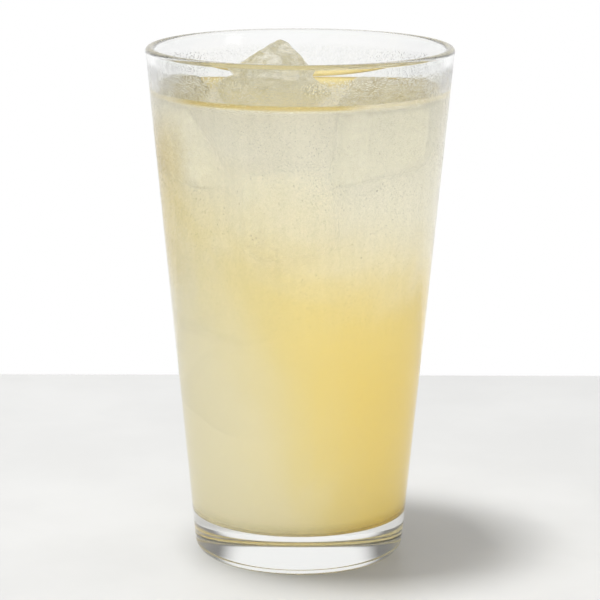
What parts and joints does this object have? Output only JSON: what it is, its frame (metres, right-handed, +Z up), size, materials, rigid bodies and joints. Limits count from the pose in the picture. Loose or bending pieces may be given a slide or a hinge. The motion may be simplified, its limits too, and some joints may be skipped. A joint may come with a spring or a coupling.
{
  "type": "glass of lemonade",
  "caption": "Tall tapered pint glass with a thick clear base, full of cloudy pale lemonade, with pieces of ice standing out of the top.",
  "frame": {"origin": "centre of the glass's base, on the plane it stands on", "axes": "+Z up along the axis of the glass; -Y is the side it is looked at from, with +X to the right"},
  "size_m": [0.0884, 0.0884, 0.1499],
  "materials": {
    "clear_glass": "clear polished soda glass, a little misted by the cold above the middle",
    "lemonade": "cloudy pale yellow drink, paler and whiter round the ice",
    "ice": "melting ice, clear at the edges and white and streaky inside"
  },
  "bodies": {
    "root": {"glass": "clear_glass", "lemonade": "lemonade", "ice_peak": "ice", "ice_right": "ice", "ice_left": "ice"}
  },
  "joints": []
}
